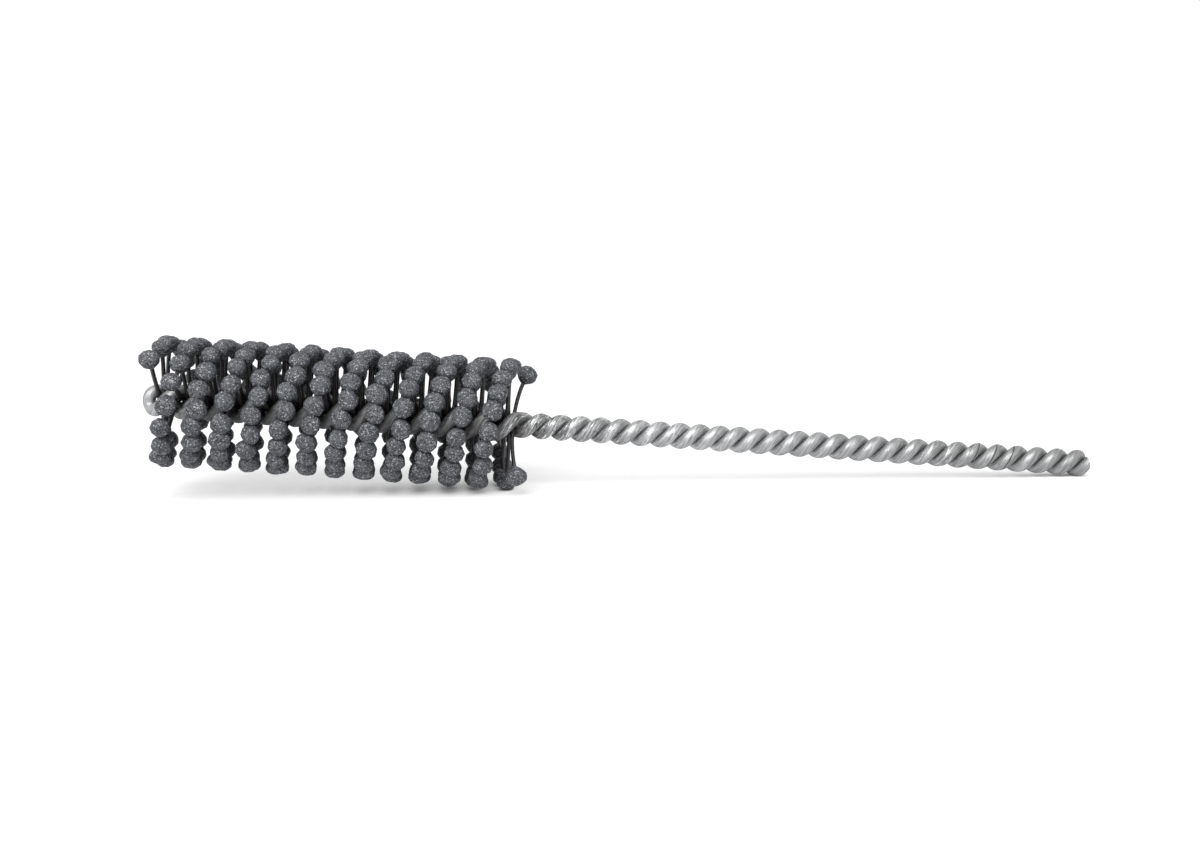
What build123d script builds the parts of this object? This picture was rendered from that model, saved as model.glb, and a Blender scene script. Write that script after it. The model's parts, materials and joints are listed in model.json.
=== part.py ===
from build123d import *
import math
import os
import random

# A flexible ball hone for bores of about 25 mm.
# One galvanised wire is folded in half and twisted left-handed into a stem: a folded nose at the
# left, a loosely twisted stretch that grips the filaments, and a tightly twisted shank with a
# cropped tip at the right. Nylon filaments pass between the two strands, two layers deep, and
# carry an abrasive globule on each end, so the globules stand in a double helix of rows.
# Every piece is drawn on the hone's own axis, with the tip at x = 0 and the nose toward -X, and
# the whole hone is then laid on a level floor, where it rests on its tip and its lowest globule.
# Angles about the axis start at the side that faces -Y and grow upward, toward +Z.
# All sizes are in millimetres and degrees.

# Stem wire
OVERALL_LENGTH = 203.2
WIRE_DIAMETER = 2.8
SHANK_PITCH = 8.52
SHANK_STRAND_GAP = 0.03
BRUSH_PITCH = 12.27
BRUSH_STRAND_GAP = 1.75
NECK_START = 0.25
NECK_LENGTH = 2.4
NECK_EXTRA_TWIST = 3.7
NECK_POINTS = 9
NOSE_BEND_LENGTH = 2.3
NOSE_BEND_TWIST = 50.0
NOSE_BEND_HANDLE = 1.5

# Cropped tip of the shank: a narrow square land between two bevels
TIP_LAND_TOP = 0.4
TIP_LAND_BOTTOM = -1.5
TIP_UPPER_BEVEL = 21.0
TIP_LOWER_BEVEL = 50.0

# Filaments. The first few and the last one stand further apart than the rest, by these shares of
# a step.
FILAMENT_DIAMETER = 0.90
FILAMENT_CLEARANCE = 0.12
STRAND_CLEARANCE = 0.03
FIRST_FILAMENT_FROM_NOSE = 3.87
FIRST_FILAMENT_ANGLE = -127.0
FILLED_LENGTH = 76.0
SPREAD_COUNT = 9
SPREAD_EXTRA = 0.186
LAST_EXTRA = 0.5

# Globules
BRUSH_DIAMETER = 28.6
GLOBULE_DIAMETER = 4.13
GLOBULE_GAP = 0.05
GLOBULE_CAP_HEIGHT = 1.45
GLOBULE_CAP_FULLNESS = 1.05
GLOBULE_NECK_DIAMETER = 1.6
GLOBULE_NECK_LENGTH = 3.0
GLOBULE_NECK_FLARE = 0.25
SOCKET_CLEARANCE = 0.03
SIZE_SPREAD = 0.05
RADIAL_SPREAD = 0.10

# Both ends of the last filament lean toward the shank
STRAY_UPPER_LEAN = 2.0
STRAY_LOWER_LEAN = 0.9

# How far from each end of the stem, and how finely, its surface is sampled to find where it rests
END_LENGTH = 4.0
SURFACE_TOLERANCE = 0.005
SEARCH_STEPS = 40
SEARCH_POINTS = 60

wire_radius = WIRE_DIAMETER / 2
filament_radius = FILAMENT_DIAMETER / 2
ring_radius = BRUSH_DIAMETER / 2 - GLOBULE_CAP_HEIGHT
step_angle = math.degrees(2 * math.asin((GLOBULE_DIAMETER + GLOBULE_GAP) / 2 / ring_radius))
step_length = step_angle / 360 * BRUSH_PITCH
filament_count = int(FILLED_LENGTH / step_length - SPREAD_EXTRA * SPREAD_COUNT) + 1

nose_x = -OVERALL_LENGTH + wire_radius
first_x = -OVERALL_LENGTH + FIRST_FILAMENT_FROM_NOSE
last_x = first_x + (filament_count - 1 + SPREAD_EXTRA * SPREAD_COUNT + LAST_EXTRA) * step_length
brush_start_x = nose_x + NOSE_BEND_LENGTH
neck_x = last_x + NECK_START
shank_x = neck_x + NECK_LENGTH
chance = random.Random(12)


def polar(x, radius, angle):
    """Return the point at a station, a radius and an angle about the hone's axis."""
    turn = math.radians(angle)
    return Vector(x, -radius * math.cos(turn), radius * math.sin(turn))


def helix_radius(pitch, gap):
    """Return the helix radius at which two opposite strands of a pitch stay a gap apart."""
    low, high = WIRE_DIAMETER / 2, 2 * WIRE_DIAMETER + gap
    wanted = WIRE_DIAMETER + gap
    for _ in range(SEARCH_STEPS):
        radius = (low + high) / 2
        offsets = [pitch / 2 * n / SEARCH_POINTS for n in range(SEARCH_POINTS + 1)]
        nearest = min(t * t + 2 * radius**2 * (1 + math.cos(2 * math.pi * t / pitch)) for t in offsets)
        if math.sqrt(nearest) < wanted:
            low = radius
        else:
            high = radius
    return high


brush_radius = helix_radius(BRUSH_PITCH, BRUSH_STRAND_GAP)
shank_radius = helix_radius(SHANK_PITCH, SHANK_STRAND_GAP)


def brush_angle(x):
    """Return the angle of the filaments at a station of the brush."""
    return FIRST_FILAMENT_ANGLE + (x - first_x) / BRUSH_PITCH * 360


def neck_station(share):
    """Return station, strand radius and twist angle at a share of the neck's length."""
    blend = 3 * share**2 - 2 * share**3
    blend_sum = share**3 - share**4 / 2
    brush_rate, shank_rate = 360 / BRUSH_PITCH, 360 / SHANK_PITCH
    turned = NECK_LENGTH * (brush_rate * share + (shank_rate - brush_rate) * blend_sum)
    turned += NECK_EXTRA_TWIST * blend
    radius = brush_radius + (shank_radius - brush_radius) * blend
    return neck_x + NECK_LENGTH * share, radius, brush_angle(neck_x) + 90 + turned


def strand_helix(start_x, end_x, pitch, radius, start_angle):
    """Return a strand's left-hand helix between two stations."""
    frame = Plane(origin=(start_x, 0, 0), x_dir=polar(0, 1, start_angle), z_dir=(1, 0, 0))
    return frame * Helix(pitch=pitch, height=end_x - start_x, radius=radius, lefthand=True)


def wire_along(path):
    """Return round wire that follows a path."""
    section = Plane(origin=path @ 0, z_dir=path % 0) * Circle(wire_radius)
    return sweep(section, path=path, is_frenet=True)


def half_wire():
    """Return one strand, from the middle of the nose bend to past the tip."""
    brush = strand_helix(brush_start_x, neck_x, BRUSH_PITCH, brush_radius, brush_angle(brush_start_x) + 90)
    apex = Vector(nose_x, 0, 0)
    apex_direction = polar(0, 1, brush_angle(brush_start_x) + 90 - NOSE_BEND_TWIST)
    nose = Bezier(apex, apex + apex_direction * NOSE_BEND_HANDLE,
                  (brush @ 0) - (brush % 0) * NOSE_BEND_HANDLE, brush @ 0)
    shank = strand_helix(shank_x, wire_radius, SHANK_PITCH, shank_radius, neck_station(1)[2])
    neck = Spline([polar(*neck_station(n / (NECK_POINTS - 1))) for n in range(NECK_POINTS)],
                  tangents=[brush % 1, shank % 0])
    spans = [wire_along(path) for path in (nose, brush, neck, shank)]
    return spans[0].fuse(*spans[1:])


def tip_crop():
    """Return the block that crops the shank's end to a land between two bevels."""
    reach = 2 * WIRE_DIAMETER
    upper = TIP_LAND_TOP + reach
    lower = TIP_LAND_BOTTOM - reach
    outline = Polyline(
        (0, TIP_LAND_BOTTOM), (0, TIP_LAND_TOP),
        (-reach * math.tan(math.radians(TIP_UPPER_BEVEL)), upper), (reach, upper),
        (reach, lower), (-reach * math.tan(math.radians(TIP_LOWER_BEVEL)), lower),
        close=True)
    return extrude(Plane.XZ * make_face(outline), amount=reach, both=True)


def stem_wire():
    """Return the whole stem: both strands, joined at the nose bend, with the tip cropped."""
    strand = half_wire()
    return strand.fuse(strand.rotate(Axis.X, 180)) - tip_crop()


def station(index):
    """Return a filament's place along the axis."""
    if index == filament_count - 1:
        return last_x
    return first_x + (index + SPREAD_EXTRA * min(index, SPREAD_COUNT)) * step_length


def filament_path(index):
    """Return a filament's line through the stem, from the middle of one globule to the other."""
    # Neighbours cross beside the axis. Each lies in the other layer than its neighbour, and runs
    # askew between the strands, so that their rounds clear each other where they cross. The last
    # filament has room enough to cross on the axis itself.
    last = index == filament_count - 1
    layer = 0 if last else (-1) ** (index + 1)
    layer_offset = (BRUSH_STRAND_GAP - FILAMENT_DIAMETER) / 2 - STRAND_CLEARANCE
    crossing_radius = 2 * layer_offset / math.radians(step_angle)
    shortfall = max(0, FILAMENT_DIAMETER + FILAMENT_CLEARANCE - step_length)
    aside = -layer * shortfall / 2
    slope = aside * (1 / crossing_radius + 1 / ring_radius)
    x = station(index)
    angle = brush_angle(x)
    leans = (STRAY_LOWER_LEAN, STRAY_UPPER_LEAN) if last else (aside, -aside)
    middle = polar(x, layer * layer_offset, angle + 90)
    halves = []
    for turn, lean, skew in ((0, leans[0], slope), (180, leans[1], -slope)):
        radius = ring_radius - chance.uniform(0, RADIAL_SPREAD)
        halves.append(TangentArc(middle, polar(x + lean, radius, angle + turn),
                                 tangent=polar(skew, 1, angle + turn)))
    return Wire([halves[0].reversed(), halves[1]])


def filament(path):
    """Return the nylon filament along its line."""
    return sweep(Plane(origin=path @ 0, z_dir=path % 0) * Circle(filament_radius), path=path)


def globule(diameter):
    """Return an abrasive globule about the origin, its cap toward +Z and its neck below."""
    radius = diameter / 2
    socket = filament_radius + SOCKET_CLEARANCE
    neck = GLOBULE_NECK_DIAMETER / 2
    shoulder = radius * math.sqrt(0.5)
    cap_shoulder = GLOBULE_CAP_HEIGHT * math.sqrt(0.5) * GLOBULE_CAP_FULLNESS
    outline = [
        Line((0, SOCKET_CLEARANCE), (0, GLOBULE_CAP_HEIGHT)),
        Spline((0, GLOBULE_CAP_HEIGHT), (shoulder, cap_shoulder), (radius, 0),
               tangents=[(1, 0), (0, -1)]),
        Spline((radius, 0), (shoulder, -shoulder), (neck, -GLOBULE_NECK_LENGTH),
               tangents=[(0, -1), (-GLOBULE_NECK_FLARE, -1)]),
        Line((neck, -GLOBULE_NECK_LENGTH), (socket, -GLOBULE_NECK_LENGTH)),
        Line((socket, -GLOBULE_NECK_LENGTH), (socket, SOCKET_CLEARANCE)),
        Line((socket, SOCKET_CLEARANCE), (0, SOCKET_CLEARANCE)),
    ]
    return revolve(Plane.XZ * make_face(outline), axis=Axis.Z)


def globule_pair(path, patterns):
    """Return the two globules on the ends of a filament's path, each along its socket."""
    mouth = GLOBULE_NECK_LENGTH / path.length
    lower = Plane(origin=path @ 0, z_dir=(path @ 0) - (path @ mouth))
    upper = Plane(origin=path @ 1, z_dir=(path @ 1) - (path @ (1 - mouth)))
    return [plane.location * chance.choice(patterns) for plane in (lower, upper)]


def rows():
    """Return the filaments and the globules of each row, a row to each half turn of the brush."""
    # The globules before the first half turn and after the last one belong to their neighbour row.
    patterns = [globule(GLOBULE_DIAMETER - SIZE_SPREAD * n) for n in range(3)]
    row_count = round((brush_angle(last_x) + 90) / 180)
    grouped = {}
    for index in range(filament_count):
        path = filament_path(index)
        row = int((brush_angle(station(index)) + 90) // 180) + 1
        filaments, globules = grouped.setdefault(min(max(row, 1), row_count), ([], []))
        filaments.append(filament(path))
        globules.extend(globule_pair(path, patterns))
    return grouped


def tipped(point, tilt):
    """Return a point's X and Z once it is turned nose up about the tip."""
    turn = math.radians(tilt)
    return (point.X * math.cos(turn) + point.Z * math.sin(turn),
            point.Z * math.cos(turn) - point.X * math.sin(turn))


def resting_place(stem, grouped):
    """Return the location that lays the hone on a level floor under its middle."""
    low_globules = Compound([ball for row in list(grouped)[-2:] for ball in grouped[row][1]])
    reach = 2 * END_LENGTH
    ends = [stem & Pos(x, 0, 0) * Box(reach, reach, reach) for x in (-OVERALL_LENGTH, 0)]
    points = [point for end in ends for point in end.tessellate(SURFACE_TOLERANCE)[0]]
    tilt = math.degrees(math.asin((BRUSH_DIAMETER / 2 - wire_radius - shank_radius) / -last_x))
    for _ in range(2):
        brush_low = (Rotation(0, tilt, 0) * low_globules).bounding_box().min.Z
        tip_low = min(tipped(point, tilt)[1] for point in points)
        tilt += math.degrees((tip_low - brush_low) / -last_x)
    left, floor = (min(tipped(point, tilt)[side] for point in points) for side in (0, 1))
    right = max(tipped(point, tilt)[0] for point in points)
    return Location((-(left + right) / 2, 0, -floor)) * Rotation(0, tilt, 0)


def build():
    """Return every node's shape, lying as the hone rests."""
    stem = stem_wire()
    grouped = rows()
    place = resting_place(stem, grouped)
    nodes = {"stem_wire": place * stem}
    for row, (filaments, globules) in grouped.items():
        nodes[f"filaments_row_{row:02d}"] = place * Compound(filaments)
        nodes[f"globules_row_{row:02d}"] = place * Compound(globules)
    return nodes, place


os.makedirs("parts", exist_ok=True)
nodes, place = build()
for name, shape in nodes.items():
    export_step(shape, f"parts/{name}.step")
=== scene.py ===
import json
import logging
import math
from dataclasses import dataclass
from enum import Enum

import bpy
import numpy as np
from mathutils import Matrix, Vector
from numpy.typing import NDArray


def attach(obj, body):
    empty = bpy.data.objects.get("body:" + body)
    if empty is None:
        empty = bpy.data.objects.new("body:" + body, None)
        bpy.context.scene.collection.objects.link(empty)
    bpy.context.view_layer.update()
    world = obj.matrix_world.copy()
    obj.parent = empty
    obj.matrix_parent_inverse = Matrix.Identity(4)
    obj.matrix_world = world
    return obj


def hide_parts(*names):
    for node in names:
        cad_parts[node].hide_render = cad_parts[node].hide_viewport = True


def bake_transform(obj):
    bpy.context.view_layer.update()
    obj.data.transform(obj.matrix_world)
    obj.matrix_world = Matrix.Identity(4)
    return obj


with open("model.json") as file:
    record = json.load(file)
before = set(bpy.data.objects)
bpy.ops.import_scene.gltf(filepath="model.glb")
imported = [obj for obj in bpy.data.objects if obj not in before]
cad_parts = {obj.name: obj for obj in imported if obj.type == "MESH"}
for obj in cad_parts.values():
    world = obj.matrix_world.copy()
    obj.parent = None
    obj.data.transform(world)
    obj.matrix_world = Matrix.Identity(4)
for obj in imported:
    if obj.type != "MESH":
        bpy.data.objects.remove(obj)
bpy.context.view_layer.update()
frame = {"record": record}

# A flexible ball hone lying on a white studio table.
# Shapes are worked out in millimetres on the hone's own axis, with the tip at x = 0 and the nose
# toward -X, as in the part's source. They are then laid in the row frame, in metres.
# Angles are in degrees. About the axis they start at the side that faces -Y and grow toward +Z.

Array = NDArray[np.float64]
MM = 0.001
TURN = 2 * math.pi
log = logging.getLogger("ball_hone")


class Slot(Enum):
    """The record's material slots."""

    WIRE = "stem_wire"
    NYLON = "filaments"
    GRIT = "globules"


class Body(Enum):
    """How the CAD bodies are named."""

    STEM = "stem"
    ROW = "row_"


def linear(hex_colour: str) -> tuple[float, float, float, float]:
    """Turn an sRGB hex colour into linear light.

    Args:
        hex_colour: six hex digits with a leading hash.

    Returns:
        Linear red, green and blue with an alpha of 1.
    """
    parts = [int(hex_colour[i:i + 2], 16) / 255 for i in (1, 3, 5)]
    red, green, blue = (c / 12.92 if c <= 0.04045 else ((c + 0.055) / 1.055) ** 2.4 for c in parts)
    return red, green, blue, 1.0


def add_node(tree: bpy.types.NodeTree, kind: str, inputs: dict | None = None,
             ramp: list[tuple[float, str]] | None = None, **settings: object) -> bpy.types.Node:
    """Add a shader node with its settings, its socket values and its links.

    Args:
        tree: the node tree that takes it.
        kind: the node's type name, without the ShaderNode at its start.
        inputs: socket names or numbers to values, or to output sockets to link.
        ramp: positions and hex colours, for a colour ramp.
        settings: properties to set on the node.

    Returns:
        The new node.
    """
    node = tree.nodes.new(f"ShaderNode{kind}")
    for name, value in settings.items():
        setattr(node, name, value)
    for name, value in (inputs or {}).items():
        if isinstance(value, bpy.types.NodeSocket):
            tree.links.new(value, node.inputs[name])
        else:
            node.inputs[name].default_value = value
    if ramp:
        stops = node.color_ramp.elements
        while len(stops) < len(ramp):
            stops.new(1.0)
        for stop, (place, colour) in zip(stops, ramp):
            stop.position, stop.color = place, linear(colour)
    return node


def new_tree(name: str) -> tuple[bpy.types.Material, bpy.types.NodeTree]:
    """Make a material with an empty node tree.

    Args:
        name: the material's name.

    Returns:
        The material and its tree.
    """
    material = bpy.data.materials.new(name)
    material.use_nodes = True
    material.node_tree.nodes.clear()
    return material, material.node_tree


@dataclass(frozen=True)
class GalvanisedDrawnWire:
    """Steel wire, hot-dip galvanised and cold drawn: dull silver, with drawing streaks along it.

    The streaks are bright and dark, and the dull oxide skin on the zinc keeps it from a full metal
    shine. The twisting jaws left cracks and polished flats, and a serrated jaw three slanted
    lines. All are drawn at the size that shows. A pair of values is where a mark starts and where
    it is full, or belongs to the dark and the bright streaks.
    """

    zinc_dark: str = "#868788"
    zinc: str = "#a5a6a7"
    zinc_bright: str = "#cfd0d0"
    polished: str = "#f0f1f1"
    # Dark grey of the cracks and jaw marks, also the colour of the painted shade.
    mark_and_shade_grey: str = "#4a4948"
    metallic: float = 0.85
    streak_width: float = 0.30
    streak_length: float = 5.0
    streak_tones: tuple[float, float, float] = (0.30, 0.48, 0.72)
    streak_tails: tuple[float, float] = (0.30, 0.70)
    streak_roughness: tuple[float, float] = (0.58, 0.44)
    crack_width: float = 0.9
    crack_length: float = 4.5
    crack_edges: tuple[float, float] = (0.042, 0.008)
    flat_width: float = 0.55
    flat_length: float = 1.9
    flat_edges: tuple[float, float] = (0.54, 0.60)
    flat_height: float = 0.8
    flat_polish: float = 0.20
    relief: float = 0.6
    relief_depth: float = 0.05
    jaw_x: float = -20.9
    jaw_gap: float = 3.7
    jaw_slant: float = 0.45
    jaw_line_edges: tuple[float, float] = (0.22, 0.08)
    jaw_span_gaps: tuple[float, float] = (1.4, 1.3)

    def lengthwise(self, tree: bpy.types.NodeTree, skin: bpy.types.NodeSocket, width: float,
                   length: float, **inputs: float) -> bpy.types.NodeSocket:
        """Add a noise drawn out along the wire.

        Args:
            tree: the material's tree.
            skin: the place on the wire, in mm, with the distance along it last.
            width: the pattern's size across the wire, in mm.
            length: its size along the wire.
            inputs: the noise's own values.

        Returns:
            The noise, from 0 to 1.
        """
        drawn = add_node(tree, "Mapping", {"Vector": skin, "Scale": (1.0, 1.0, width / length)})
        return add_node(tree, "TexNoise", {
            "Vector": drawn.outputs[0], "Scale": 1 / width, **inputs}).outputs["Fac"]

    def jaw_marks(self, tree: bpy.types.NodeTree) -> bpy.types.NodeSocket:
        """Add three slanted lines that a serrated jaw pressed across the strands near the tip.

        A line is where x - slant * z on the hone's axis is the middle line's or a gap from it.

        Args:
            tree: the material's tree.

        Returns:
            The marks, 1 on a line and 0 off it.
        """
        place = add_node(tree, "Attribute", attribute_name="stem_place").outputs["Vector"]
        place = add_node(tree, "SeparateXYZ", {"Vector": place}).outputs
        along = add_node(tree, "Math", {0: place["Z"], 1: -self.jaw_slant, 2: place["X"]},
                         operation="MULTIPLY_ADD")
        along = add_node(tree, "Math", {0: along.outputs[0], 1: self.jaw_x}, operation="SUBTRACT")
        nearest = add_node(tree, "Math", {0: along.outputs[0], 1: self.jaw_gap / 2},
                           operation="PINGPONG")
        line = add_node(tree, "MapRange", {
            "Value": nearest.outputs[0], "From Min": self.jaw_line_edges[0],
            "From Max": self.jaw_line_edges[1]})
        away = add_node(tree, "Math", {0: along.outputs[0]}, operation="ABSOLUTE")
        within = add_node(tree, "MapRange", {
            "Value": away.outputs[0], "From Min": self.jaw_span_gaps[0] * self.jaw_gap,
            "From Max": self.jaw_span_gaps[1] * self.jaw_gap})
        return add_node(tree, "Math", {0: line.outputs[0], 1: within.outputs[0]},
                        operation="MULTIPLY").outputs[0]

    def material(self) -> bpy.types.Material:
        """Build the material. It reads the wire's own skin, across and along it, in mm.

        Returns:
            The wire's finish.
        """
        material, tree = new_tree("galvanised_drawn_steel_wire")
        skin = add_node(tree, "Attribute", attribute_name="wire_skin").outputs["Vector"]
        wear = add_node(tree, "Attribute", attribute_name="wire_wear").outputs["Fac"]
        # Painted shade stored on the wire: inside the brush, round the neck, in the grooves and
        # toward the tip.
        painted_shade = add_node(tree, "Attribute", attribute_name="wire_painted_shade").outputs["Fac"]
        streaks = self.lengthwise(tree, skin, self.streak_width, self.streak_length,
                                  Detail=4.0, Roughness=0.65)
        lines = self.lengthwise(tree, skin, self.crack_width, self.crack_length,
                                Detail=4.0, Roughness=0.7, Distortion=1.2)
        flats = self.lengthwise(tree, skin, self.flat_width, self.flat_length,
                                Detail=2.0, Roughness=0.5, Distortion=0.4)
        base = add_node(tree, "ValToRGB", {"Fac": streaks}, ramp=list(
            zip(self.streak_tones, (self.zinc_dark, self.zinc, self.zinc_bright))))
        middle = add_node(tree, "Math", {0: lines, 1: 0.5}, operation="SUBTRACT")
        middle = add_node(tree, "Math", {0: middle.outputs[0]}, operation="ABSOLUTE")
        cracks = add_node(tree, "MapRange", {
            "Value": middle.outputs[0], "From Min": self.crack_edges[0],
            "From Max": self.crack_edges[1]})
        cracked = add_node(tree, "Math", {0: cracks.outputs[0], 1: wear}, operation="MULTIPLY")
        cracked = add_node(tree, "Math", {0: cracked.outputs[0], 1: self.jaw_marks(tree)},
                           operation="MAXIMUM")
        flat = add_node(tree, "MapRange", {
            "Value": flats, "From Min": self.flat_edges[0], "From Max": self.flat_edges[1]})
        rubbed = add_node(tree, "Math", {0: flat.outputs[0], 1: wear}, operation="MULTIPLY")
        bright = add_node(tree, "Mix", {
            "Factor": rubbed.outputs[0], 6: base.outputs[0], 7: linear(self.polished)},
            data_type="RGBA", clamp_factor=True)
        scuffed = add_node(tree, "Mix", {
            "Factor": cracked.outputs[0], 6: bright.outputs[2], 7: linear(self.mark_and_shade_grey)},
            data_type="RGBA", clamp_factor=True)
        # Mix in the painted shade, in the cracks' dark grey.
        shaded_colour = add_node(tree, "Mix", {
            "Factor": painted_shade, 6: scuffed.outputs[2], 7: linear(self.mark_and_shade_grey)},
            data_type="RGBA", clamp_factor=True)
        satin = add_node(tree, "MapRange", {
            "Value": streaks, "From Min": self.streak_tails[0], "From Max": self.streak_tails[1],
            "To Min": self.streak_roughness[0], "To Max": self.streak_roughness[1]})
        gloss = add_node(tree, "Math", {
            0: rubbed.outputs[0], 1: -self.flat_polish, 2: satin.outputs[0]},
            operation="MULTIPLY_ADD")
        relief = add_node(tree, "Math", {0: streaks, 1: cracked.outputs[0]}, operation="SUBTRACT")
        relief = add_node(tree, "Math", {
            0: rubbed.outputs[0], 1: self.flat_height, 2: relief.outputs[0]},
            operation="MULTIPLY_ADD")
        bump = add_node(tree, "Bump", {
            "Height": relief.outputs[0], "Strength": self.relief,
            "Distance": self.relief_depth * MM})
        shader = add_node(tree, "BsdfPrincipled", {
            "Base Color": shaded_colour.outputs[2], "Metallic": self.metallic,
            "Roughness": gloss.outputs[0], "Normal": bump.outputs[0]})
        add_node(tree, "OutputMaterial", {"Surface": shader.outputs[0]})
        return material


@dataclass(frozen=True)
class BlackNylonMonofilament:
    """Extruded nylon monofilament: near black, satin, with a narrow highlight along each strand."""

    nylon: str = "#1c191a"
    dust: str = "#39363a"
    dust_size: float = 0.8
    dust_edges: tuple[float, float] = (0.45, 0.75)
    roughness: float = 0.38
    ior: float = 1.53

    def material(self) -> bpy.types.Material:
        """Build the material, with a little grey abrasive dust in patches.

        Returns:
            The filaments' finish.
        """
        material, tree = new_tree("black_nylon_monofilament")
        place = add_node(tree, "TexCoord").outputs["Object"]
        patches = add_node(tree, "TexNoise", {
            "Vector": place, "Scale": 1 / (self.dust_size * MM), "Detail": 3.0})
        colour = add_node(tree, "ValToRGB", {"Fac": patches.outputs["Fac"]},
                          ramp=list(zip(self.dust_edges, (self.nylon, self.dust))))
        shader = add_node(tree, "BsdfPrincipled", {
            "Base Color": colour.outputs[0], "Roughness": self.roughness, "IOR": self.ior})
        add_node(tree, "OutputMaterial", {"Surface": shader.outputs[0]})
        return material


@dataclass(frozen=True)
class SiliconCarbideGrit:
    """Silicon carbide grit dipped in a dark resin bond: dark grey, rough as coarse sandpaper.

    It has black pits, a few grains painted near white as glints and faint darker and lighter
    patches. A grain of 0.12 mm is drawn at 0.21 mm, as fine as the picture can show.
    """

    pit: str = "#1b1c1f"
    bond: str = "#494b4f"
    grain: str = "#616368"
    # Painted glint: near white grains that stand for sparkle off the grit.
    painted_glint: str = "#b0b3b8"
    grain_size: float = 0.21
    grain_tones: tuple[float, float, float, float] = (0.10, 0.32, 0.88, 0.97)
    grain_roughness: tuple[float, float] = (0.40, 0.90)
    patch_size: float = 1.6
    patch_tails: tuple[float, float] = (0.30, 0.70)
    patch_shade: tuple[float, float] = (0.82, 1.10)
    relief: float = 0.8
    relief_depth: float = 0.06
    ior: float = 1.5

    def material(self) -> bpy.types.Material:
        """Build the material from cells the size of a grain.

        Returns:
            The globules' finish.
        """
        material, tree = new_tree("silicon_carbide_grit")
        place = add_node(tree, "TexCoord").outputs["Object"]
        cells = add_node(tree, "TexVoronoi", {
            "Vector": place, "Scale": 1 / (self.grain_size * MM), "Randomness": 1.0})
        single = add_node(tree, "SeparateColor", {"Color": cells.outputs["Color"]})
        # The cells' colours run from pits through bond and grain to the painted glints.
        colour = add_node(tree, "ValToRGB", {"Fac": single.outputs[0]}, ramp=list(
            zip(self.grain_tones, (self.pit, self.bond, self.grain, self.painted_glint))))
        patches = add_node(tree, "TexNoise", {
            "Vector": place, "Scale": 1 / (self.patch_size * MM), "Detail": 2.0})
        shade = add_node(tree, "MapRange", {
            "Value": patches.outputs["Fac"],
            "From Min": self.patch_tails[0], "From Max": self.patch_tails[1],
            "To Min": self.patch_shade[0], "To Max": self.patch_shade[1]})
        toned = add_node(tree, "Mix", {
            "Factor": 1.0, 6: colour.outputs[0], 7: shade.outputs[0]},
            data_type="RGBA", blend_type="MULTIPLY")
        gloss = add_node(tree, "MapRange", {
            "Value": single.outputs[1], "To Min": self.grain_roughness[0],
            "To Max": self.grain_roughness[1]})
        bump = add_node(tree, "Bump", {
            "Height": cells.outputs["Distance"], "Strength": self.relief,
            "Distance": self.relief_depth * MM}, invert=True)
        shader = add_node(tree, "BsdfPrincipled", {
            "Base Color": toned.outputs[2], "Roughness": gloss.outputs[0], "IOR": self.ior,
            "Normal": bump.outputs[0]})
        add_node(tree, "OutputMaterial", {"Surface": shader.outputs[0]})
        return material


def seen_directly(tree: bpy.types.NodeTree) -> bpy.types.NodeSocket:
    """Tell what the camera sees, by itself, in gloss or through glass, from what lights things.

    Args:
        tree: the tree of a material or of the world.

    Returns:
        1 for a ray that sees and 0 for a ray that lights.
    """
    path = add_node(tree, "LightPath").outputs
    seen = path["Is Camera Ray"]
    for ray in ("Is Glossy Ray", "Is Transmission Ray"):
        seen = add_node(tree, "Math", {0: seen, 1: path[ray]}, operation="MAXIMUM").outputs[0]
    return seen


@dataclass(frozen=True)
class WhiteTable:
    """Matt white laminate, lit as a studio table: white to the camera, and it keeps the shadow,
    with a contact shadow painted into its glow.
    """

    white: str = "#f4f4f4"
    shadow_share: str = "#cbcbcd"
    glow: float = 0.55
    # Where and how deep the contact shadow is painted into the glow.
    painted_shadow_reach: float = 12.0
    painted_shadow_shut: float = 0.15
    painted_shadow_open: float = 0.56
    painted_shadow_facing: tuple[float, float, float] = (0.0, -0.42, 0.91)
    painted_shadow_samples: int = 16

    def material(self) -> bpy.types.Material:
        """Build the material. What the camera, gloss and glass see adds an even glow.

        The glow rises in a straight line from nothing to full with the share of the sky, above and
        in front of the table, that the object leaves open within the painted shadow's reach in mm.
        So a contact shadow is painted into the glow under the object.

        Returns:
            The table's finish.
        """
        material, tree = new_tree("white_table_laminate")
        plain = add_node(tree, "BsdfDiffuse", {"Color": linear(self.white)})
        shadowed = add_node(tree, "BsdfDiffuse", {"Color": linear(self.shadow_share)})
        # Painted contact shadow: the glow fades where the object closes off the sky above and in
        # front of the table.
        facing = add_node(tree, "CombineXYZ", dict(zip("XYZ", self.painted_shadow_facing)))
        sky = add_node(tree, "AmbientOcclusion", {
            "Distance": self.painted_shadow_reach * MM, "Normal": facing.outputs[0]},
            samples=self.painted_shadow_samples)
        glow_less_painted_shadow = add_node(tree, "MapRange", {
            "Value": sky.outputs["AO"], "From Min": self.painted_shadow_shut,
            "From Max": self.painted_shadow_open, "To Max": self.glow})
        glow = add_node(tree, "Emission", {"Strength": glow_less_painted_shadow.outputs[0]})
        shown = add_node(tree, "AddShader", {0: shadowed.outputs[0], 1: glow.outputs[0]})
        both = add_node(tree, "MixShader", {
            "Fac": seen_directly(tree), 1: plain.outputs[0], 2: shown.outputs[0]})
        add_node(tree, "OutputMaterial", {"Surface": both.outputs[0]})
        return material


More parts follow.
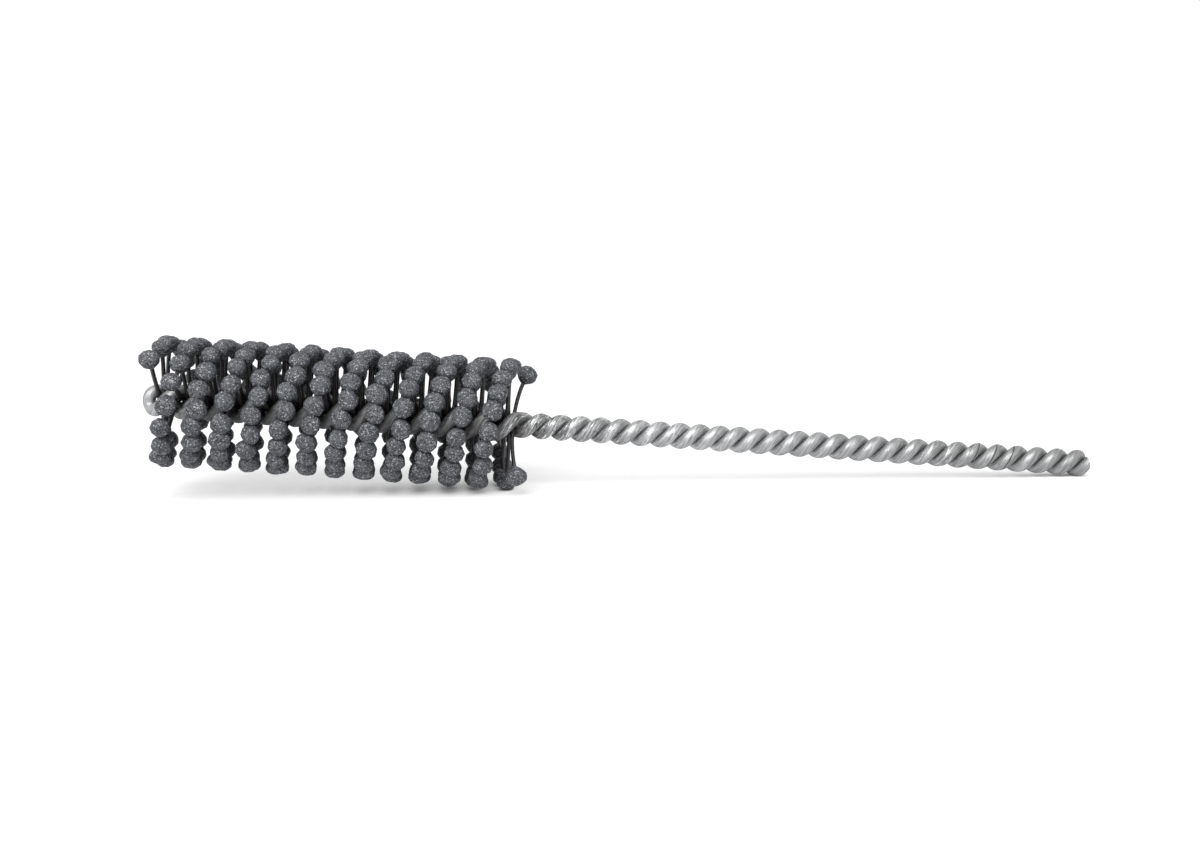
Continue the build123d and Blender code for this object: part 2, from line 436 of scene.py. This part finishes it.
@dataclass(frozen=True)
class HoneAxis:
    """Where the hone lies: its axis runs down from the raised nose to the tip on the floor."""

    tip: tuple[float, float, float]
    tilt: float

    @classmethod
    def from_mount(cls, mount: dict, grip_from_tip: float = 20.0) -> "HoneAxis":
        """Read the axis from the record's shank mount.

        Args:
            mount: the record's entry for the round shank.
            grip_from_tip: how far back from the tip the mount's place is, in mm.

        Returns:
            The hone's axis in the row frame.
        """
        along = np.array(mount["axis"])
        tip = np.array(mount["pos_m"]) + grip_from_tip * MM * along
        return cls(tuple(tip), math.atan2(-along[2], along[0]))

    def placed(self, points: Array) -> Array:
        """Turn points on the hone's axis, in mm, nose up about Y and move them to the row frame.

        Args:
            points: an array whose last index is x, y and z.

        Returns:
            The same points in metres in the row frame.
        """
        c, s = math.cos(self.tilt), math.sin(self.tilt)
        x, y, z = np.moveaxis(points, -1, 0) * MM
        return np.stack([x * c + z * s, y, z * c - x * s], axis=-1) + np.array(self.tip)


def polar(x: Array | float, radius: Array | float, angle: Array | float) -> Array:
    """Place points about the hone's axis: (x, -radius * cos angle, radius * sin angle).

    Args:
        x: the points' stations on the axis.
        radius: their distances from it.
        angle: their angles about it, in degrees.

    Returns:
        The points, with x, y and z as the last index.
    """
    turn = np.radians(angle)
    x, radius, turn = np.broadcast_arrays(x, radius, turn)
    return np.stack([x, -radius * np.cos(turn), radius * np.sin(turn)], axis=-1).astype(float)


def unit(vectors: Array) -> Array:
    """Return vectors at a length of 1."""
    return vectors / np.linalg.norm(vectors, axis=-1, keepdims=True)


def rings_along(middles: Array, side: Array, other: Array, radii: Array, around: int) -> Array:
    """Carry a round section along lines: middle + radius * (cos t * side + sin t * other).

    Args:
        middles: the middle line's points, (..., stations, 3).
        side: unit vectors across the line, of the same shape.
        other: unit vectors across both, of the same shape.
        radii: the section's radius at each station, (..., stations).
        around: how many points the section has.

    Returns:
        The surface's points, (..., stations, around, 3).
    """
    t = np.linspace(0, TURN, around, endpoint=False)[:, None]
    ring = np.cos(t) * side[..., None, :] + np.sin(t) * other[..., None, :]
    return middles[..., None, :] + radii[..., None, None] * ring


def closed_skins(name: str, rings: Array, axis: HoneAxis) -> bpy.types.Object:
    """Make one mesh of closed shapes, each a stack of rings with a pole at both ends.

    The wall joins point (i, j) of a shape to (i, j + 1), (i + 1, j + 1) and (i + 1, j), and the
    last point of a ring to its first. Each pole is the middle of the ring beside it. If the volume
    that the shapes enclose comes out negative, their faces are turned round.

    Args:
        name: the object's name.
        rings: surface points in mm on the hone's axis, (shapes, stations, around, 3).
        axis: where the hone lies.

    Returns:
        A smooth-shaded object at the origin, with its place in its mesh.
    """
    shapes, stations, around, _ = rings.shape
    poles = rings[:, [0, -1]].mean(axis=2)
    points = np.concatenate([rings.reshape(shapes, -1, 3), poles], axis=1)
    i, j = np.meshgrid(np.arange(stations - 1), np.arange(around), indexing="ij")
    k = (j + 1) % around
    quads = np.stack([i * around + j, i * around + k, (i + 1) * around + k, (i + 1) * around + j],
                     axis=-1).reshape(-1, 4)
    j = np.arange(around)
    k = (j + 1) % around
    first, last = stations * around, (stations - 1) * around
    fans = np.concatenate([np.stack([np.full(around, first), k, j], axis=-1),
                           np.stack([np.full(around, first + 1), last + j, last + k], axis=-1)])
    a, b, c, d = (points[:, quads[:, n]] for n in range(4))
    volume = np.einsum("skx,skx->s", a, np.cross(b, c) + np.cross(c, d))
    if volume.sum() < 0:
        quads, fans = quads[:, ::-1], fans[:, ::-1]
    offsets = np.arange(shapes)[:, None, None] * points.shape[1]
    loops = np.concatenate([(quads + offsets).reshape(-1), (fans + offsets).reshape(-1)])
    counts = np.repeat([4, 3], [shapes * len(quads), shapes * len(fans)])
    mesh = bpy.data.meshes.new(name)
    mesh.vertices.add(shapes * points.shape[1])
    mesh.vertices.foreach_set("co", axis.placed(points).astype(np.float32).reshape(-1))
    mesh.loops.add(len(loops))
    mesh.loops.foreach_set("vertex_index", loops.astype(np.int32))
    mesh.polygons.add(len(counts))
    mesh.polygons.foreach_set("loop_start", (np.cumsum(counts) - counts).astype(np.int32))
    mesh.polygons.foreach_set("use_smooth", np.ones(len(counts), dtype=bool))
    mesh.update(calc_edges=True)
    mesh.validate()
    piece = bpy.data.objects.new(name, mesh)
    bpy.context.scene.collection.objects.link(piece)
    return piece


def dress(piece: bpy.types.Object, material: bpy.types.Material, slot: Slot, *nodes: str) -> None:
    """Give a piece its material, and let it stand for CAD nodes.

    Args:
        piece: the finished piece.
        material: its finish.
        slot: the record's slot that the finish belongs to; it is not used.
        nodes: the CAD nodes that it replaces.
    """
    piece.data.materials.append(material)
    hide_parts(*nodes)
    log.info("%s: %d faces, stands for %s", piece.name, len(piece.data.polygons), ", ".join(nodes))


@dataclass
class FilledBrush:
    """How the filaments are spread along and round the stem.

    The extras say how much further than a step the first few and the last one stand, in steps.
    """

    pitch: float = 12.27
    nose_x: float = -201.785
    first_x: float = -199.33
    first_angle: float = -127.0
    filled_length: float = 76.0
    spread_count: int = 9
    spread_extra: float = 0.186
    last_extra: float = 0.5
    globule_spacing: float = 4.18
    ring_radius: float = 12.85

    @property
    def step_angle(self) -> float:
        """Return the turn from one filament to the next, from the chord between globules."""
        return math.degrees(2 * math.asin(self.globule_spacing / 2 / self.ring_radius))

    @property
    def step_length(self) -> float:
        """Return the distance from one filament to the next along the stem."""
        return self.step_angle / 360 * self.pitch

    @property
    def stations(self) -> Array:
        """Work out where each filament stands: the first few and the last one further apart.

        Returns:
            The filaments' stations on the hone's axis, in order.
        """
        last = int(self.filled_length / self.step_length - self.spread_extra * self.spread_count)
        numbers = np.arange(last + 1)
        steps = numbers + self.spread_extra * np.minimum(numbers, self.spread_count)
        steps[-1] += self.last_extra
        return self.first_x + self.step_length * steps

    def angle(self, x: Array | float) -> Array | float:
        """Return the filaments' angle at a station."""
        return self.first_angle + (x - self.first_x) / self.pitch * 360

    @property
    def rows(self) -> Array:
        """Return the number of the row that each filament belongs to, a row to a half turn."""
        half_turns = (self.angle(self.stations) + 90) / 180
        return np.clip(half_turns.astype(int) + 1, 1, round(half_turns[-1]))


@dataclass
class WireHandling:
    """How the wire was marked by twisting, use and handling, and where shade is painted on it.

    It is worn past the neck and where it is gripped. Shade is painted on it between the filaments,
    round the neck, in its grooves and toward the tip.
    """

    least_wear: float = 0.2
    worn_past_neck: float = 5.0
    worn_length: float = 14.0
    grip_x: float = -30.0
    grip_wear: float = 0.4
    grip_length: float = 8.0
    # Painted shade inside the brush, where the wire lies between the filaments.
    brush_shade_from_nose: float = 5.0
    brush_shade_rise: float = 8.0
    brush_shade_to_neck: float = 2.0
    brush_shade_fall: float = 5.0
    brush_shade_share: float = 0.42
    # Painted shade round the neck, beside the last globules.
    neck_shade: float = 0.5
    neck_shade_length: float = 7.0
    # Painted shade in the grooves between the two strands.
    groove_shade_from: float = 0.2
    groove_shade_share: float = 0.25
    # Painted shade toward the tip, standing in for the light falling off there.
    tip_shade_length: float = 90.0
    tip_shade_share: float = 0.34

    def wear(self, x: Array, neck_x: float) -> Array:
        """Work out the wear: e^(-distance / length) from two places, and the least all over.

        Args:
            x: stations on the hone's axis.
            neck_x: where the last filament stands.

        Returns:
            The wear at each, where 1 or more is all worn.
        """
        past_neck = np.exp(-np.abs(x - neck_x - self.worn_past_neck) / self.worn_length)
        grip = np.exp(-np.abs(x - self.grip_x) / self.grip_length)
        return past_neck + self.grip_wear * grip + self.least_wear

    def painted_shade(self, x: Array, nose_x: float, neck_x: float, depth: Array) -> Array:
        """Work out the painted shade: the larger of the brush's and the neck's, with the grooves'
        and the tip's added.

        Inside the brush it rises in a straight line past the nose and falls before the neck, round
        the neck it is e^(-(distance / length)^2) from the neck, and toward the tip it rises in a
        straight line to the tip.

        Args:
            x: stations on the hone's axis.
            nose_x: where the nose is.
            neck_x: where the last filament stands.
            depth: how deep in the grooves each place is, in wire radii.

        Returns:
            The painted shade at each, where 1 or more is all dark grey.
        """
        # Painted shade inside the brush: it rises past the nose and falls before the neck.
        rise = np.clip((x - nose_x - self.brush_shade_from_nose) / self.brush_shade_rise, 0, 1)
        fall = np.clip((neck_x - self.brush_shade_to_neck - x) / self.brush_shade_fall, 0, 1)
        # Painted shade round the neck, beside the last globules.
        dust = self.neck_shade * np.exp(-((x - neck_x) / self.neck_shade_length) ** 2)
        # Painted shade on the faces that turn in toward the other strand.
        groove_shading = np.clip(depth - self.groove_shade_from, 0, 1)
        # Painted shade that darkens the wire in a straight line toward the tip.
        tip_shading = np.clip((x + self.tip_shade_length) / self.tip_shade_length, 0, 1)
        return (self.brush_shade_share * np.maximum(rise * fall, dust) + self.groove_shade_share * groove_shading
                + self.tip_shade_share * tip_shading)


@dataclass
class TwistedStem:
    """One wire folded in half and twisted left-handed, with a folded nose and a cropped tip.

    The neck starts just before the last filament, so that nothing shows through beside it. Its
    extra twist keeps the shank's turns where they are.
    """

    brush: FilledBrush
    handling: WireHandling
    wire_radius: float = 1.4
    shank_pitch: float = 8.52
    shank_radius: float = 1.419
    brush_radius: float = 2.379
    neck_start: float = -0.3
    neck_length: float = 2.0
    neck_extra_twist: float = -6.0
    nose_bend_length: float = 2.3
    nose_bend_twist: float = 50.0
    nose_bend_handle: float = 1.5
    land_x: float = -0.01
    land_top: float = 0.4
    land_bottom: float = -1.49
    upper_bevel: float = 21.0
    lower_bevel: float = 50.0
    crop_zone: float = 12.0
    crop_samples: int = 1200
    line_step: float = 0.05
    nose_points: int = 80
    station_gap: float = 0.36
    around: int = 30
    cap_rings: int = 8
    sharp_angle: float = 32.0

    def strand_line(self) -> Array:
        """Work out one strand's middle line from the nose to past the tip.

        The nose is a Bezier curve from across the axis into the helix. The rest is a helix whose
        radius and twist rate pass from the brush's to the shank's by 3s^2 - 2s^3 over the neck.

        Returns:
            Points along the line, (count, 3).
        """
        start_x = self.brush.nose_x + self.nose_bend_length
        neck_x = float(self.brush.stations[-1]) + self.neck_start
        x = np.arange(start_x, self.wire_radius, self.line_step)
        share = np.clip((x - neck_x) / self.neck_length, 0, 1)
        blend = 3 * share**2 - 2 * share**3
        rate, shank_rate = 360 / self.brush.pitch, 360 / self.shank_pitch
        past_neck = np.maximum(x - neck_x - self.neck_length, 0)
        angle = self.brush.angle(np.minimum(x, neck_x)) + 90 + self.neck_extra_twist * blend
        angle += self.neck_length * (rate * share + (shank_rate - rate) * (share**3 - share**4 / 2))
        angle += past_neck * shank_rate
        radius = self.brush_radius + (self.shank_radius - self.brush_radius) * blend
        helix = polar(x, radius, angle)
        tangent = unit(helix[1] - helix[0])
        apex = np.array([self.brush.nose_x, 0, 0])
        across = polar(0.0, 1.0, float(angle[0]) - self.nose_bend_twist)
        corners = [apex, apex + across * self.nose_bend_handle,
                   helix[0] - tangent * self.nose_bend_handle, helix[0]]
        t = np.linspace(0, 1, self.nose_points, endpoint=False)[:, None]
        nose = sum(math.comb(3, n) * t**n * (1 - t) ** (3 - n) * corner
                   for n, corner in enumerate(corners))
        return np.concatenate([nose, helix])

    def crop_limit(self, z: Array) -> Array:
        """Work out how far the cropped tip reaches: a square land between two bevels.

        Above and below the land it falls back by tan(bevel) * the height past the land's edge.

        Args:
            z: heights above the hone's axis.

        Returns:
            The last station that the wire reaches at each height.
        """
        upper = -np.tan(math.radians(self.upper_bevel)) * (z - self.land_top)
        lower = -np.tan(math.radians(self.lower_bevel)) * (self.land_bottom - z)
        return self.land_x + np.minimum(0.0, np.minimum(upper, lower))

    def wall(self, lengths: Array, table: Array, line: Array) -> Array:
        """Work out points of the wire's wall, each generator at its own length.

        A point is middle + radius * (cos t * side + sin t * other), where the side is the part of
        +X that is square to the wire.

        Args:
            lengths: distance along the wire of each point, (stations, around).
            table: distance along the wire of each point of the line.
            line: the wire's middle line from tip to tip.

        Returns:
            The wall's points, (stations, around, 3).
        """
        slope = np.gradient(line, table, axis=0)
        middle = np.stack([np.interp(lengths, table, line[:, n]) for n in range(3)], axis=-1)
        along = unit(np.stack([np.interp(lengths, table, slope[:, n]) for n in range(3)], axis=-1))
        side = unit(np.array([1.0, 0, 0]) - along[..., :1] * along)
        other = np.cross(along, side)
        t = np.linspace(0, TURN, self.around, endpoint=False)[None, :, None]
        return middle + self.wire_radius * (np.cos(t) * side + np.sin(t) * other)

    def end_lengths(self, table: Array, line: Array) -> Array:
        """Find where each generator of the wall meets the crop at the wire's last end.

        Args:
            table: distance along the wire of each point of the line.
            line: the wire's middle line from tip to tip.

        Returns:
            The distance along the wire at which each generator stops, (around,).
        """
        lengths = np.linspace(table[-1] - self.crop_zone, table[-1], self.crop_samples)
        points = self.wall(np.repeat(lengths[:, None], self.around, axis=1), table, line)
        outside = points[..., 0] > self.crop_limit(points[..., 2])
        return lengths[np.argmax(outside, axis=0)]

    def build(self, axis: HoneAxis, material: bpy.types.Material) -> bpy.types.Object:
        """Build the whole wire from tip to tip as one closed skin, and dress it.

        Near an end, the generators' lengths pass by s^2 from even stations to the crop. The first
        end is found as the last end of the wire seen the other way along. A cap's rings shrink to
        its middle on the crop.

        Args:
            axis: where the hone lies.
            material: the wire's finish.

        Returns:
            The stem's object.
        """
        strand = self.strand_line()
        line = np.concatenate([strand[::-1], strand[1:] * np.array([1, -1, -1])])
        table = np.concatenate([[0], np.cumsum(np.linalg.norm(np.diff(line, axis=0), axis=1))])
        ends = self.end_lengths(table, line)
        flipped = self.end_lengths(table[-1] - table[::-1], line[::-1])
        back = (-np.arange(self.around)) % self.around
        starts = table[-1] - flipped[back]
        base = np.linspace(starts.mean(), ends.mean(),
                           int((ends.mean() - starts.mean()) / self.station_gap))
        near_end = np.clip((base - (base[-1] - self.crop_zone)) / self.crop_zone, 0, 1)[:, None]
        near_start = np.clip(((base[0] + self.crop_zone) - base) / self.crop_zone, 0, 1)[:, None]
        lengths = base[:, None] + near_end**2 * (ends - base[-1])
        lengths = lengths + near_start**2 * (starts - base[0])
        wall = self.wall(lengths, table, line)
        caps = []
        for ring in (wall[0], wall[-1]):
            share = np.linspace(0, 1, self.cap_rings + 1)[1:-1, None, None]
            cap = ring.mean(axis=0) + share * (ring - ring.mean(axis=0))
            cap[..., 0] = self.crop_limit(cap[..., 2])
            caps.append(cap)
        rings = np.concatenate([caps[0], wall, caps[1][::-1]])[None]
        piece = closed_skins("galvanised_stem_wire", rings, axis)
        self.paint_skin(piece, rings[0], lengths)
        piece.data.set_sharp_from_angle(angle=math.radians(self.sharp_angle))
        dress(piece, material, Slot.WIRE, "stem_wire")
        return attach(piece, Body.STEM.value)

    def paint_skin(self, piece: bpy.types.Object, rings: Array, lengths: Array) -> None:
        """Store where each point is on the wire and on the hone, how worn it is and how much shade
        is painted on it.

        The place on the wire is radius * cos t, radius * sin t and the length along the wire, on
        the wall and, with a smaller radius, on the caps. How deep a point is in a groove is how
        much nearer to the axis it is than the middle of its ring.

        Args:
            piece: the stem's object.
            rings: its points on the hone's axis, (stations, around, 3).
            lengths: distance along the wire of the wall's points.
        """
        inner = np.linspace(0, 1, self.cap_rings + 1)[1:-1]
        share = np.concatenate([inner, np.ones(len(lengths)), inner[::-1]])[:, None]
        edge = np.pad(lengths, ((len(inner), len(inner)), (0, 0)), mode="edge")
        middle = edge.mean(axis=1, keepdims=True)
        along = middle + share * (edge - middle)
        t = np.linspace(0, TURN, self.around, endpoint=False)
        across = self.wire_radius * share
        skin = np.stack([across * np.cos(t), across * np.sin(t), along], axis=-1).reshape(-1, 3)
        x = rings[..., 0]
        centre = rings.mean(axis=1, keepdims=True)
        outward = np.linalg.norm(rings[..., 1:], axis=-1) - np.linalg.norm(centre[..., 1:], axis=-1)
        neck_x = float(self.brush.stations[-1])
        wear = self.handling.wear(x, neck_x)
        # How deep each point lies in a groove sets the painted shade there.
        painted_shade = self.handling.painted_shade(x, self.brush.nose_x, neck_x, -outward / self.wire_radius)
        skin = np.concatenate([skin, skin[[0, -1]] * np.array([0, 0, 1])])
        place = np.concatenate([rings.reshape(-1, 3), centre[[0, -1], 0]])
        for name, values in (("wire_skin", skin), ("stem_place", place)):
            piece.data.attributes.new(name, "FLOAT_VECTOR", "POINT").data.foreach_set(
                "vector", values.astype(np.float32).reshape(-1))
        for name, values in (("wire_wear", wear), ("wire_painted_shade", painted_shade)):
            flat = values.reshape(-1)
            full = np.clip(np.concatenate([flat, flat[[0, -1]]]), 0, 1)
            piece.data.attributes.new(name, "FLOAT", "POINT").data.foreach_set(
                "value", full.astype(np.float32))


@dataclass
class FilamentArcs:
    """The nylon filaments, each an arc through the stem from one globule to the other."""

    brush: FilledBrush
    diameter: float = 0.90
    clearance: float = 0.12
    layer_offset: float = 0.395
    squeeze: float = 0.8
    squeeze_reach: float = 1.6
    radial_spread: float = 0.10
    stray_upper_lean: float = 2.0
    stray_lower_lean: float = 1.9
    stray_upper_turn: float = 4.0
    stray_lower_turn: float = 6.0
    shares: tuple[float, ...] = (0.0, 0.13, 0.25, 0.36, 0.47, 0.58, 0.70, 1.0)
    around: int = 6
    sectors: int = 6
    bend_from: float = 2.4
    bend_to: float = 8.6
    seed: int = 12

    def half_lines(self) -> tuple[Array, Array]:
        """Work out the line of each half filament, from the crossing out to the globule.

        Neighbours lie in two layers between the strands and run askew there, so that their rounds
        pass where they cross, and then bend square to the axis again. The last filament crosses on
        the axis, and its ends lean toward the shank and turn a little further. The line is
        M + w T + w^2 (E - M - T): M is the crossing, E the end and T the way it sets out, for w
        from 0 to 1.

        Returns:
            The lines, (halves, stations, 3), and the number of the row of each.
        """
        x = self.brush.stations
        layer = np.where(np.arange(len(x)) % 2 == 1, 1.0, -1.0)
        layer[-1] = 0
        ring = self.brush.ring_radius
        crossing = 2 * self.layer_offset / math.radians(self.brush.step_angle)
        aside = -layer * max(0.0, self.diameter + self.clearance - self.brush.step_length) / 2
        slope = aside * (1 / crossing + 1 / ring)
        pull = np.random.default_rng(self.seed).uniform(0, self.radial_spread, (2, len(x)))
        angle = self.brush.angle(x)
        middle = polar(x, layer * self.layer_offset, angle + 90)
        w = np.array(self.shares)[None, :, None]
        lines = []
        strays = ((self.stray_lower_lean, self.stray_lower_turn),
                  (self.stray_upper_lean, self.stray_upper_turn))
        for side, (stray_lean, stray_turn) in enumerate(strays):
            sign = 1 - 2 * side
            lean = sign * aside
            lean[-1] = stray_lean
            turned = angle + 180 * side
            turned[-1] += stray_turn
            end = polar(x + lean, ring - pull[side], turned)
            setting_out = polar(sign * slope * ring, ring, angle + 180 * side)
            bow = (end - middle - setting_out)[:, None]
            lines.append(middle[:, None] + w * setting_out[:, None] + w**2 * bow)
        return np.concatenate(lines), np.concatenate([self.brush.rows] * 2)

    def build(self, axis: HoneAxis, material: bpy.types.Material) -> None:
        """Build a fan of half filaments for each row and sector.

        The strands squeeze a filament wide along the stem: by 1 + squeeze * exp(-(r / reach)^2)
        at a distance r from the axis.

        Args:
            axis: where the hone lies.
            material: the filaments' finish.
        """
        lines, rows = self.half_lines()
        along = unit(np.gradient(lines, axis=1))
        side = unit(np.cross(along, np.array([1.0, 0, 0])))
        other = np.cross(along, side)
        reach = np.linalg.norm(lines[..., 1:], axis=-1, keepdims=True)
        wide = 1 + self.squeeze * np.exp(-(reach / self.squeeze_reach) ** 2)
        radii = np.full(lines.shape[:2], self.diameter / 2 / math.cos(math.pi / self.around / 2))
        rings = rings_along(lines, side, other * wide, radii, self.around)
        ends = lines[:, -1]
        angles = np.degrees(np.arctan2(ends[:, 2], -ends[:, 1])) % 360
        width = 360 / self.sectors
        sector = (angles // width).astype(int)
        for row in np.unique(rows):
            for fan in range(self.sectors):
                chosen = (rows == row) & (sector == fan)
                if not chosen.any():
                    continue
                piece = closed_skins(f"nylon_filaments_row_{row:02d}_fan_{fan + 1}",
                                     rings[chosen], axis)
                x = float(ends[chosen, 0].mean())
                heading = (fan + 0.5) * width
                start, end = (axis.placed(polar(x, radius, heading))
                              for radius in (self.bend_from, self.bend_to))
                dress(piece, material, Slot.NYLON, f"filaments_row_{row:02d}")
                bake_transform(piece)


@dataclass
class GritGlobules:
    """The abrasive globules, each a lumpy ball drawn down into a collar on its filament."""

    filaments: FilamentArcs
    radius: float = 2.36
    size_spread: float = 0.12
    cap_height: float = 1.42
    collar_radius: float = 0.68
    collar_length: float = 2.5
    wander: float = 0.25
    lump: float = 0.09
    lump_waves: int = 3
    lump_swing: float = 2.4
    roughness: float = 0.05
    fade_start: float = 1.25
    least_fade: float = 0.15
    reach_limit: float = 14.27
    first_latitude: float = 0.42
    stations: int = 7
    around: int = 10
    seed: int = 7

    def build(self, axis: HoneAxis, material: bpy.types.Material) -> None:
        """Build the globules of each row as one piece.

        A point at latitude t from the cap has height cap * cos t and radius R * sin t above the
        widest ring. Below it, q from 0 to 1 gives height -L * q and radius
        collar + (R - collar) * (1 - q^2). Each globule sits a little off its filament. Slow waves
        in random directions make it lumpy and fine random steps roughen it, both less toward the
        collar, and nothing passes the brush's outer reach.

        Args:
            axis: where the hone lies.
            material: the globules' finish.
        """
        lines, rows = self.filaments.half_lines()
        count = len(lines)
        chance = np.random.default_rng(self.seed)
        middles = lines[:, -1]
        up = unit(lines[:, -1] - lines[:, -2])
        side = unit(np.cross(up, np.array([1.0, 0, 0])))
        other = np.cross(up, side)
        size = self.radius * (1 - chance.uniform(0, self.size_spread, count))[:, None]
        t = np.linspace(self.first_latitude, math.pi, self.stations)
        upper = t <= math.pi / 2
        q = np.clip((t - math.pi / 2) / (math.pi / 2), 0, 1)
        height = np.where(upper, self.cap_height * np.cos(t), -self.collar_length * q)
        height = np.broadcast_to(height, (count, self.stations))
        below = self.collar_radius + (size - self.collar_radius) * (1 - q**2)
        radii = np.where(upper, size * np.sin(t), below)
        off = chance.uniform(-self.wander, self.wander, (2, count, 1))
        middles = middles + off[0] * side + off[1] * other
        centres = middles[:, None] + height[..., None] * up[:, None]
        turn = chance.uniform(0, TURN, count)[:, None]
        turned = np.cos(turn) * side + np.sin(turn) * other
        across = np.cross(up, turned)
        shape = (count, self.stations, 3)
        rings = rings_along(centres, np.broadcast_to(turned[:, None], shape),
                            np.broadcast_to(across[:, None], shape), radii, self.around)
        out = unit(rings - middles[:, None, None])
        waves = unit(chance.normal(size=(count, self.lump_waves, 3)))
        phases = chance.uniform(0, TURN, (count, 1, 1, self.lump_waves))
        swing = self.lump_swing * np.einsum("nijx,nkx->nijk", out, waves) + phases
        lumps = np.cos(swing).sum(axis=-1)
        grit = chance.uniform(-1, 1, rings.shape[:3])
        fade = np.clip(self.fade_start * (1 - q), self.least_fade, 1)[None, :, None]
        rings = rings + ((self.lump * lumps + self.roughness * grit) * fade)[..., None] * out
        reach = np.linalg.norm(rings[..., 1:], axis=-1, keepdims=True)
        rings[..., 1:] *= np.minimum(1, self.reach_limit / reach)
        for row in np.unique(rows):
            piece = closed_skins(f"grit_globules_row_{row:02d}", rings[rows == row], axis)
            dress(piece, material, Slot.GRIT, f"globules_row_{row:02d}")
            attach(piece, f"{Body.ROW.value}{row:02d}")


@dataclass
class StudioTable:
    """The white table, a broad soft light above the front edge and the even room light.

    The table's size and the key light's place are in metres.
    """

    size: float = 60.0
    key_strength: float = 2.75
    key_spread: float = 46.0
    key_place: tuple[float, float, float] = (-0.20, -0.74, 0.80)
    room_light: float = 0.41
    white: str = "#ffffff"

    def build(self) -> None:
        """Lay the table and put up the lights."""
        half = self.size / 2
        mesh = bpy.data.meshes.new("studio_table")
        corners = [(-half, -half, 0), (half, -half, 0), (half, half, 0), (-half, half, 0)]
        mesh.from_pydata(corners, [], [(0, 1, 2, 3)])
        mesh.materials.append(WhiteTable().material())
        table = bpy.data.objects.new("studio_table", mesh)
        bpy.context.scene.collection.objects.link(table)
        lamp = bpy.data.lights.new("soft_key", "SUN")
        lamp.energy, lamp.angle = self.key_strength, math.radians(self.key_spread)
        key = bpy.data.objects.new("soft_key", lamp)
        key.location = self.key_place
        key.rotation_euler = Vector(self.key_place).to_track_quat("Z", "Y").to_euler()
        bpy.context.scene.collection.objects.link(key)
        self.light_room()
        log.info("studio table, soft key and room light")

    def light_room(self) -> None:
        """Light the room evenly, and show it white to the camera, gloss and glass."""
        world = bpy.data.worlds.new("white_room")
        world.use_nodes = True
        tree = world.node_tree
        tree.nodes.clear()
        light = add_node(tree, "Background", {
            "Color": linear(self.white), "Strength": self.room_light})
        shown = add_node(tree, "Background", {"Color": linear(self.white), "Strength": 1.0})
        both = add_node(tree, "MixShader", {
            "Fac": seen_directly(tree), 1: light.outputs[0], 2: shown.outputs[0]})
        add_node(tree, "OutputWorld", {"Surface": both.outputs[0]})
        bpy.context.scene.world = world


@dataclass
class ProductCamera:
    """The camera of a close product shot, a little above the table and hardly rolled.

    Its clip distances are in metres.
    """

    lens: float = 47.01
    distance: float = 336.6
    target: tuple[float, float, float] = (-2.93, 0.0, 12.74)
    yaw: float = -1.34
    elevation: float = 10.0
    roll: float = 1.61
    sensor: float = 36.0
    clip: tuple[float, float] = (0.01, 20.0)

    def build(self) -> None:
        """Create the camera, aim it and make it the scene's own."""
        yaw, elevation, roll = (math.radians(a) for a in (self.yaw, self.elevation, self.roll))
        forward = Vector((math.sin(yaw) * math.cos(elevation), math.cos(yaw) * math.cos(elevation),
                          -math.sin(elevation)))
        right = Vector((math.cos(yaw), -math.sin(yaw), 0))
        down = forward.cross(right)
        rolled = math.cos(roll) * right + math.sin(roll) * down
        up = math.sin(roll) * right - math.cos(roll) * down
        data = bpy.data.cameras.new("product_camera")
        data.lens, data.sensor_width, data.sensor_fit = self.lens, self.sensor, "HORIZONTAL"
        data.clip_start, data.clip_end = self.clip
        camera = bpy.data.objects.new("product_camera", data)
        place = (Vector(self.target) - self.distance * forward) * MM
        turn = Matrix((rolled, up, -forward)).transposed().to_4x4()
        camera.matrix_world = Matrix.Translation(place) @ turn
        bpy.context.scene.collection.objects.link(camera)
        bpy.context.scene.camera = camera
        bpy.context.scene.view_settings.view_transform = "Standard"
        log.info("camera at %s", tuple(round(v, 4) for v in place))


def main() -> None:
    """Build the studio, then the stem, the filaments and the globules."""
    logging.basicConfig(level=logging.INFO, format="%(name)s %(message)s")
    mounts = {mount["name"]: mount for mount in frame["record"]["mounts"]}
    axis = HoneAxis.from_mount(mounts["shank"])
    StudioTable().build()
    ProductCamera().build()
    brush = FilledBrush()
    TwistedStem(brush, WireHandling()).build(axis, GalvanisedDrawnWire().material())
    filaments = FilamentArcs(brush)
    filaments.build(axis, BlackNylonMonofilament().material())
    GritGlobules(filaments).build(axis, SiliconCarbideGrit().material())


if __name__ == "__main__":
    main()
